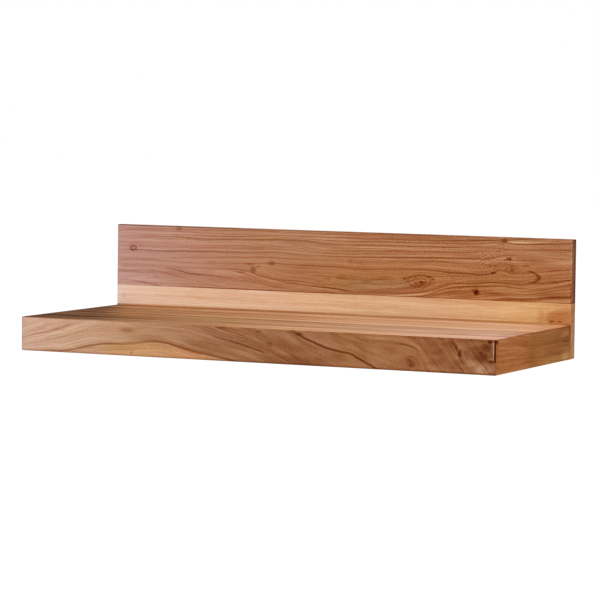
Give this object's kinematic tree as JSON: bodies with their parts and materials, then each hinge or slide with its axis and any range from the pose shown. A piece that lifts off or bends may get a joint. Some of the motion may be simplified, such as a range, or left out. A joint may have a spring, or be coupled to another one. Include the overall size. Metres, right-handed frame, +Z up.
{
  "type": "wall shelf",
  "caption": "Wall shelf of oiled hardwood: a thick-edged ledge with mitred fascias in front of an upright back panel with keyhole hangers.",
  "frame": {"origin": "on the wall plane, midway between the entry holes of the two keyhole hangers", "axes": "+X to the right seen from the front, +Y towards the wall, +Z up"},
  "size_m": [0.6, 0.25, 0.14],
  "materials": {
    "heartwood_panel": "oiled red-brown heartwood with knots",
    "sapwood_panel": "oiled pale sapwood",
    "stave_wood_1": "oiled straight-grained stave, light tan",
    "stave_wood_2": "oiled straight-grained stave, pinkish brown",
    "stave_wood_3": "oiled straight-grained stave, brown",
    "stave_wood_4": "oiled straight-grained stave, light tan",
    "stave_wood_5": "oiled straight-grained stave, tan",
    "stave_wood_6": "oiled straight-grained stave, golden tan",
    "front_wood": "oiled swirling grain with knots",
    "end_wood": "oiled brown long grain",
    "batten_wood": "planed, left without oil",
    "dowel_wood": "turned beech, bare",
    "screw_steel": "zinc plated, faintly yellow",
    "hanger_steel": "zinc plated sheet"
  },
  "bodies": {
    "root": {"back_board_upper": "heartwood_panel", "back_board_lower": "sapwood_panel", "top_stave_1": "stave_wood_1", "top_stave_2": "stave_wood_2", "top_stave_3": "stave_wood_3", "top_stave_4": "stave_wood_4", "top_stave_5": "stave_wood_5", "top_stave_6": "stave_wood_6", "front_fascia": "front_wood", "end_fascia_left": "end_wood", "end_fascia_right": "end_wood", "rear_rail": "batten_wood", "front_glue_strip": "batten_wood", "end_glue_strip_left": "batten_wood", "end_glue_strip_right": "batten_wood", "centre_rib": "batten_wood", "corner_block_left": "batten_wood", "corner_block_right": "batten_wood", "corner_splines": "dowel_wood", "panel_dowels": "dowel_wood", "back_screws": "screw_steel", "batten_screws": "screw_steel", "plate_screws": "screw_steel", "keyhole_plate_left": "hanger_steel", "keyhole_plate_right": "hanger_steel"}
  },
  "joints": []
}
